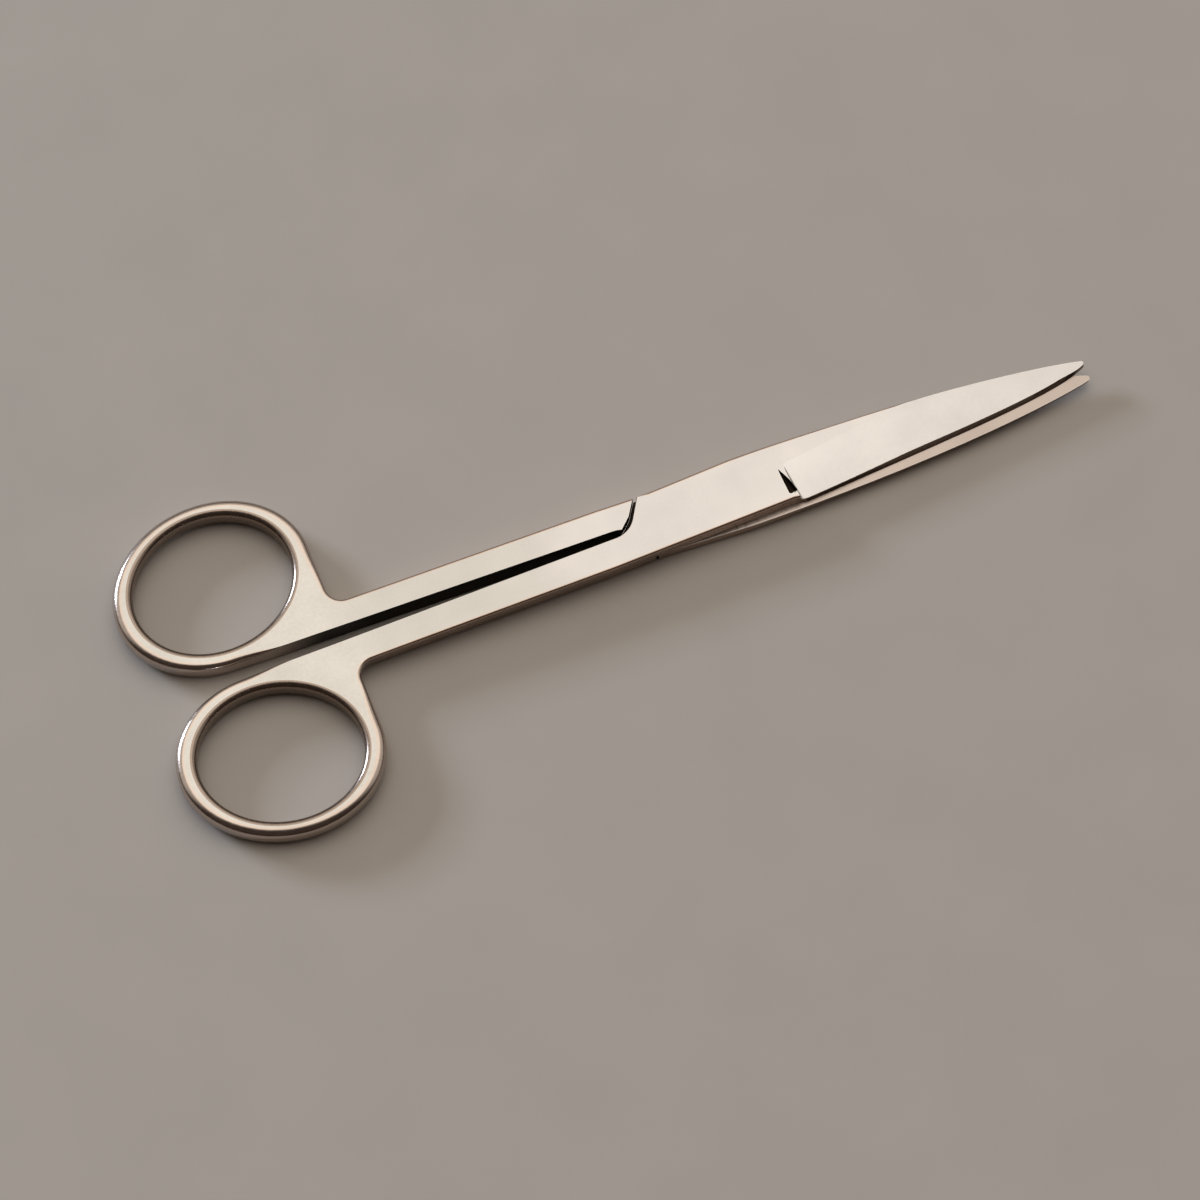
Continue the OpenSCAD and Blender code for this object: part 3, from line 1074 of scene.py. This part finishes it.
@dataclass(frozen=True)
class MattBoard:
    """Smooth card laid flat as the floor: an even warm grey that hardly shines."""

    name: str = "warm_grey_card"
    colour: str = "#AFA8A1"

    def material(self) -> bpy.types.Material:
        """Returns the card as a material."""
        material = bpy.data.materials.new(self.name)
        material.use_nodes = True
        tree = material.node_tree
        tree.nodes.clear()
        place = add_node(tree, "ShaderNodeTexCoord").outputs["Object"]
        mottle = add_node(
            tree, "ShaderNodeTexNoise", {"Vector": place, "Scale": 60.0, "Detail": 2.0}
        ).outputs[0]
        shade = add_node(
            tree, "ShaderNodeMapRange", {"Value": mottle, 1: 0.3, 2: 0.7, 3: 0.98, 4: 1.02}
        ).outputs[0]
        colour = add_node(
            tree,
            "ShaderNodeMix",
            {"Factor": 1.0, 6: linear(self.colour), 7: shade},
            data_type="RGBA",
            blend_type="MULTIPLY",
        ).outputs[2]
        shader = add_node(
            tree, "ShaderNodeBsdfPrincipled", {"Base Color": colour, "Roughness": 0.7}
        )
        add_node(tree, "ShaderNodeOutputMaterial", {"Surface": shader.outputs[0]})
        return material


@dataclass(frozen=True)
class SoftLight:
    """A square of even light that faces the scissors.

    Attributes:
        name: Name of the lamp.
        towards: Direction from the scissors to the lamp.
        distance: Distance in metres.
        size: Width and height in metres.
        brightness: How bright its face is, where white is 1.
        colour: Colour of the light.
    """

    name: str
    towards: tuple[float, float, float]
    distance: float
    size: tuple[float, float]
    brightness: float
    colour: str

    def build(self) -> None:
        """Adds the lamp to the scene."""
        lamp = bpy.data.lights.new(self.name, "AREA")
        lamp.shape = "RECTANGLE"
        lamp.size, lamp.size_y = self.size
        lamp.energy = self.brightness * math.pi * self.size[0] * self.size[1]
        lamp.color = linear(self.colour)[:3]
        obj = bpy.data.objects.new(self.name, lamp)
        away = Vector(self.towards).normalized()
        obj.matrix_world = (
            Matrix.Translation(away * self.distance)
            @ away.to_track_quat("Z", "Y").to_matrix().to_4x4()
        )
        obj.visible_camera = False
        bpy.context.scene.collection.objects.link(obj)


class Studio:
    """The floor, the soft light and the camera of the photograph."""

    azimuth = -21.5
    elevation = 66.0
    distance = 900.0
    target = (-19.7178, -8.0639, 1.9)
    pixels_per_mm = 6.92
    frame_pixels = 1200
    sensor = 36.0

    def build(self) -> None:
        """Builds the floor, lights, world and camera."""
        self._floor()
        self._world()
        SoftLight("overhead", (0.15, 0.34, 0.92), 3.0, (3.2, 3.0), 0.89, "#FFF8EE").build()
        SoftLight("window", (-0.57, 0.78, 0.255), 3.0, (0.9, 0.42), 67.0, "#DAE9FF").build()
        self._camera()

    def _floor(self) -> None:
        """Lays the card that the scissors lie on."""
        side = 2.5
        outline = [(-side, -side), (side, -side), (side, side), (-side, side)]
        mesh = bpy.data.meshes.new("card_floor")
        mesh.from_pydata([(x, y, 0) for x, y in outline], [], [(0, 1, 2, 3)])
        mesh.materials.append(MattBoard().material())
        placed(mesh, "card_floor")

    def _world(self) -> None:
        """Sets a plain room around: dim and warm at the sides, paler overhead."""
        world = bpy.data.worlds.new("plain_room")
        world.use_nodes = True
        tree = world.node_tree
        tree.nodes.clear()
        place = add_node(tree, "ShaderNodeTexCoord").outputs["Generated"]
        height = add_node(tree, "ShaderNodeSeparateXYZ", {0: place}).outputs[2]
        rise = add_node(
            tree,
            "ShaderNodeMapRange",
            {"Value": height, 1: 0.05, 2: 0.5},
            interpolation_type="SMOOTHSTEP",
        ).outputs[0]
        dim_side = Vector((-0.37, -0.93, 0.0))
        side = add_node(
            tree, "ShaderNodeVectorMath", {0: place, 1: dim_side}, operation="DOT_PRODUCT"
        ).outputs["Value"]
        open_side = add_node(
            tree,
            "ShaderNodeMapRange",
            {"Value": side, 1: 0.35, 2: -0.1, 3: 0.05, 4: 1.0},
            interpolation_type="SMOOTHSTEP",
        ).outputs[0]
        pale = add_node(
            tree, "ShaderNodeMath", {0: rise, 1: open_side}, operation="MULTIPLY"
        ).outputs[0]
        colour = add_node(
            tree,
            "ShaderNodeMix",
            {"Factor": pale, 6: linear("#32241D"), 7: linear("#D6CEC4")},
            data_type="RGBA",
        ).outputs[2]
        shader = add_node(tree, "ShaderNodeBackground", {"Color": colour, "Strength": 1.0})
        add_node(tree, "ShaderNodeOutputWorld", {"Surface": shader.outputs[0]})
        bpy.context.scene.world = world

    def _camera(self) -> None:
        """Sets the camera at the photograph's viewing angle."""
        e, a = math.radians(self.elevation), math.radians(self.azimuth)
        back = Vector((math.sin(a) * math.cos(e), -math.cos(a) * math.cos(e), math.sin(e)))
        right = Vector((math.cos(a), math.sin(a), 0))
        up = back.cross(right)
        camera = bpy.data.cameras.new("camera")
        camera.sensor_width = self.sensor
        camera.lens = self.sensor * self.pixels_per_mm * self.distance / self.frame_pixels
        camera.clip_start = 0.01
        obj = bpy.data.objects.new("camera", camera)
        place = Vector(self.target) * MM + back * self.distance * MM
        obj.matrix_world = Matrix.Translation(place) @ Matrix((right, up, back)).transposed().to_4x4()
        bpy.context.scene.collection.objects.link(obj)
        bpy.context.scene.camera = obj
        bpy.context.scene.view_settings.view_transform = "Standard"


def report(obj: bpy.types.Object) -> None:
    """Logs a piece with the count of its faces."""
    LOG.info("%s: %d faces", obj.name, len(obj.data.polygons))


def main() -> None:
    """Loads the frame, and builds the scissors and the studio."""
    logging.basicConfig(level=logging.INFO, format="%(name)s %(message)s")
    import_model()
    finishes = [
        SteelFinish(
            "satin_ground_stainless",
            colour="#C1BEB9",
            tip_colour="#CCC8C6",
            change_mm=(-34, -12),
        ),
        # The side finish is a browner copy of the face steel, browner still along the shanks and blades:
        # its brown is partly the steel's own tone and partly painted shade for the shaded floor that the
        # sides reflect.
        SteelFinish(
            "linished_side_and_painted_shade",
            colour="#C8BAB0",
            roughness=0.26,
            grain=Grain.ALONG,
            tip_colour="#C2AC9D",
            change_mm=(-58, -48),
        ),
        SteelFinish("fine_ground_stainless_blade", colour="#D2CFCD", roughness=0.35),
        # The lap finish paints shade: near black behind the lap's back edge, where the gap lies in shade,
        # and a darker grey further on, partly painted shade where the face shows under the other half.
        SteelFinish(
            "flat_ground_lap_and_painted_shade",
            colour="#1E1814",
            roughness=0.3,
            grain=Grain.ACROSS,
            tip_colour="#B2A69E",
            change_mm=(-9.0, -8.0),
        ),
        SteelFinish("burnished_stainless_edge", colour="#D2CECB", roughness=0.2, tint=0.02),
        # The gap finish paints shade: from the shanks to the tips it is near black, as the shade that
        # lies between the two halves.
        SteelFinish(
            "gap_painted_shade",
            colour="#C8BAB0",
            roughness=0.5,
            ring_roughness=0.22,
            tip_colour="#251D17",
            change_mm=(-68, -58),
        ),
        # The hole finish paints shade: the finger holes' walls are coloured darker and browner, as the
        # shade inside the rings.
        SteelFinish("ring_hole_painted_shade", colour="#9C8D82", ring_roughness=0.24),
        # The bevel finish paints shade: the cutting bevel is coloured dark brown, as the shade between
        # the blades.
        SteelFinish(
            "cutting_bevel_painted_shade", colour="#7E6C60", roughness=0.3, grain=Grain.ACROSS
        ),
    ]
    joint = JointSizes()
    screw = ScrewSizes()
    outline = HalfOutline(joint, BladeSizes(), ShankSizes(), RingSizes())
    for which in Half:
        report(ForgedHalf(which, outline, screw).build(finishes))
    turned_steel = SteelFinish("turned_screw_steel", colour="#CFCAC4", roughness=0.3)
    report(PivotScrew(screw, joint).build([turned_steel, finishes[Zone.EDGE.value]]))
    Studio().build()


if __name__ == "__main__":
    main()
